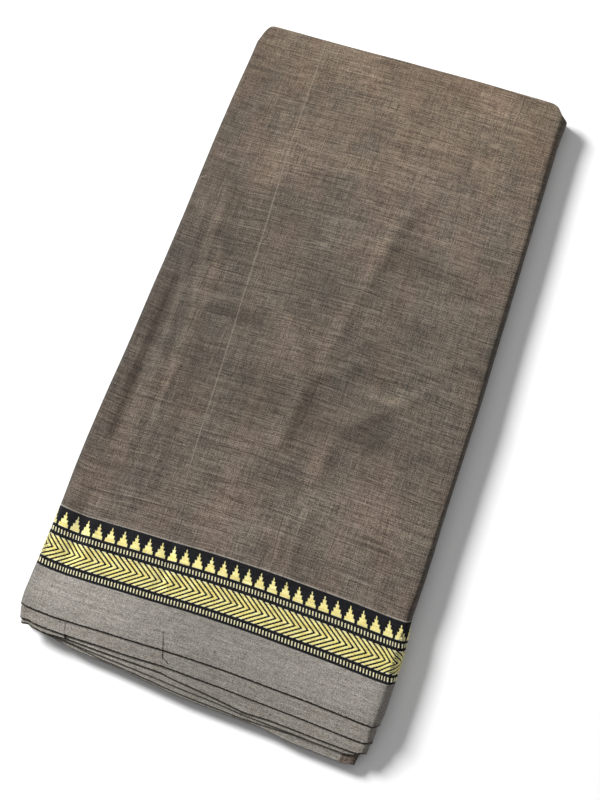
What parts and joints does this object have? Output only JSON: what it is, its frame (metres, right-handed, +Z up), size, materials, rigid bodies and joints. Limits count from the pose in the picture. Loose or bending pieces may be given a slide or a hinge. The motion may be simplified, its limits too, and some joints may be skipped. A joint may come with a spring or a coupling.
{
  "type": "folded saree",
  "caption": "Saree folded flat into a long soft bundle: plain taupe field, black and gold woven border, pale selvedge ends fanned at one end.",
  "frame": {"origin": "middle of the bundle's footprint, on the surface it rests on", "axes": "+Y along the bundle to its far, folded end, away from the border; +X to the single book fold; +Z up"},
  "size_m": [0.3014, 0.6107, 0.0223],
  "materials": {
    "taupe_cloth": "matt cotton, melange of brown and grey threads",
    "black_gold_border": "black cotton ground with woven metallic gold figures",
    "pale_cloth": "matt cotton, pale grey-beige with dark flecks",
    "brown_cloth": "matt cotton, brown"
  },
  "bodies": {
    "root": {"outer_wrap_field": "taupe_cloth", "outer_wrap_border": "black_gold_border", "outer_wrap_strip": "pale_cloth", "second_stretch": "pale_cloth", "third_stretch": "pale_cloth", "fourth_stretch": "pale_cloth", "fifth_stretch": "pale_cloth", "lowest_stretch": "pale_cloth", "inner_fold_end": "brown_cloth", "folded_core": "taupe_cloth"}
  },
  "joints": []
}
